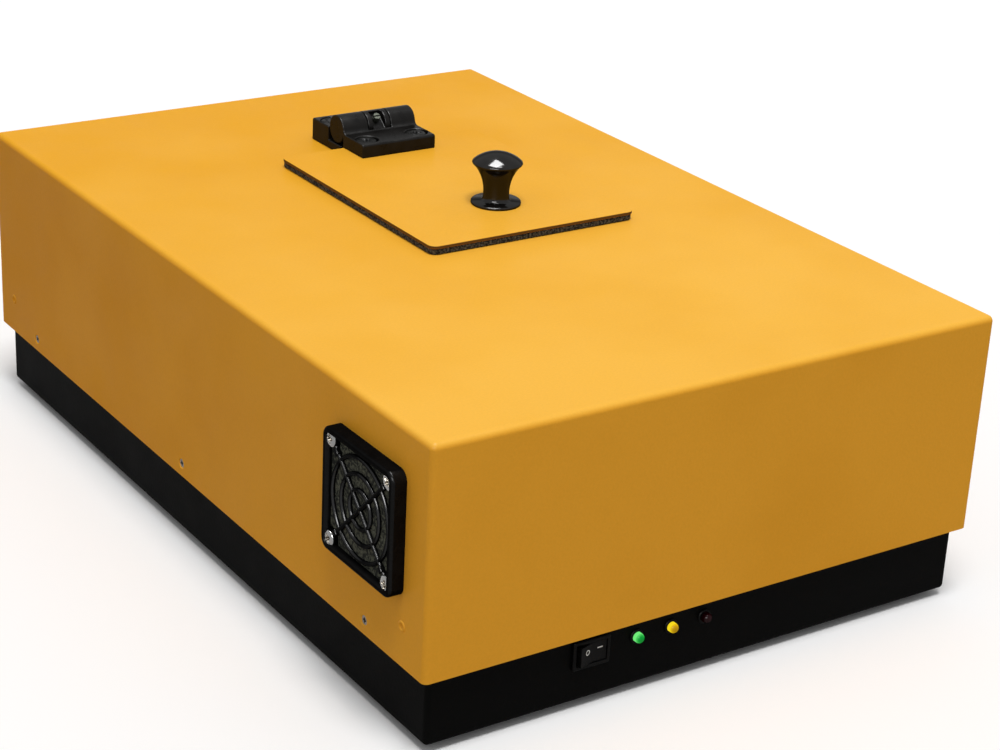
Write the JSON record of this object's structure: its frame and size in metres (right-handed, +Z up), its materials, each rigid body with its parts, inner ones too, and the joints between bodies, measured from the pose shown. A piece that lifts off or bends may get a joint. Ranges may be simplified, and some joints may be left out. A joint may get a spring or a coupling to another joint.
{
  "type": "near-infrared spectrometer",
  "caption": "Bench near-infrared spectrometer: folded cover over a flat base, hinged sample lid with knob over a cuvette well, side fan, power switch and indicator lamps.",
  "frame": {"origin": "on the resting surface, under the middle of the whole instrument", "axes": "+Z up, -Y out of the front with the switch, -X out of the side with the fan"},
  "size_m": [0.3318, 0.477, 0.1911],
  "materials": {
    "cover_paint": "satin",
    "base_paint": "satin",
    "hinge_black": "satin",
    "knob_black": "gloss",
    "guard_black": "satin",
    "fan_black": "matte",
    "switch_black": "satin",
    "gasket_foam": "matte",
    "filter_foam": "matte",
    "foot_rubber": "matte",
    "screw_steel": "satin",
    "screw_chrome": "polished",
    "plate_aluminium": "satin",
    "anodised_black": "matte",
    "copper_winding": "satin",
    "mirror_coating": "polished",
    "lens_glass": "polished",
    "lamp_green": "gloss",
    "lamp_yellow": "gloss",
    "lamp_red": "gloss",
    "contact_metal": "polished",
    "board_green": "satin",
    "lead_sheath": "satin"
  },
  "bodies": {
    "case": {"base_tray": "base_paint", "beam_combiner": "anodised_black", "case_nuts": "screw_steel", "collection_lens": "lens_glass", "condenser_lens": "lens_glass", "control_board": "board_green", "cover_rivets": "cover_paint", "cuvette_holder": "anodised_black", "data_port": "screw_steel", "detector_head": "anodised_black", "detector_heat_sink": "plate_aluminium", "dichroic_mirrors": "lens_glass", "diffraction_grating": "mirror_coating", "fan_guard": "guard_black", "fan_housing": "fan_black", "fan_motor_core": "copper_winding", "fan_screws": "screw_chrome", "feet_screws": "screw_steel", "filter_foam": "filter_foam", "flat_screws": "screw_steel", "halogen_bulb": "lens_glass", "hinge_cover_leaf": "hinge_black", "hinge_cover_screws": "screw_steel", "hinge_pin": "screw_steel", "inlet_pins": "contact_metal", "instrument_cover": "cover_paint", "interlock_sensor": "switch_black", "lamp_housing": "base_paint", "laser_module_1": "anodised_black", "laser_module_2": "anodised_black", "laser_module_3": "anodised_black", "laser_mounts": "anodised_black", "led_board": "board_green", "led_green": "lamp_green", "led_holders": "switch_black", "led_red": "lamp_red", "led_yellow": "lamp_yellow", "mains_inlet": "switch_black", "mains_lead": "lead_sheath", "optical_plate": "plate_aluminium", "plate_screws": "screw_steel", "power_supply": "plate_aluminium", "rubber_feet": "foot_rubber", "sample_well": "base_paint", "spectrograph_housing": "anodised_black", "spectrograph_lid": "anodised_black", "spectrograph_mirrors": "mirror_coating", "switch_body": "switch_black", "torque_screw": "screw_steel", "visible_spectrometer": "base_paint"},
    "lid": {"lid_panel": "cover_paint", "lid_gasket": "gasket_foam", "lid_knob": "knob_black", "lid_screws": "screw_steel", "interlock_magnet": "screw_steel", "hinge_lid_leaf": "hinge_black", "hinge_lid_nuts": "screw_steel"},
    "fan_rotor": {"fan_impeller": "fan_black", "fan_shaft": "screw_steel"},
    "rocker": {"switch_rocker": "switch_black"}
  },
  "joints": [
    {"name": "lid_hinge", "type": "hinge", "parent": "case", "child": "lid", "pos_m": [0.0239, 0.1225, 0.17], "axis": [-1, 0, 0], "range_deg": [0, 170]},
    {"name": "fan_spin", "type": "hinge", "parent": "case", "child": "fan_rotor", "pos_m": [-0.1436, -0.1885, 0.105], "axis": [1, 0, 0], "continuous": true},
    {"name": "power_rocker", "type": "hinge", "parent": "case", "child": "rocker", "pos_m": [-0.0646, -0.2335, 0.029], "axis": [0, 0, -1], "range_deg": [0, 18]}
  ]
}
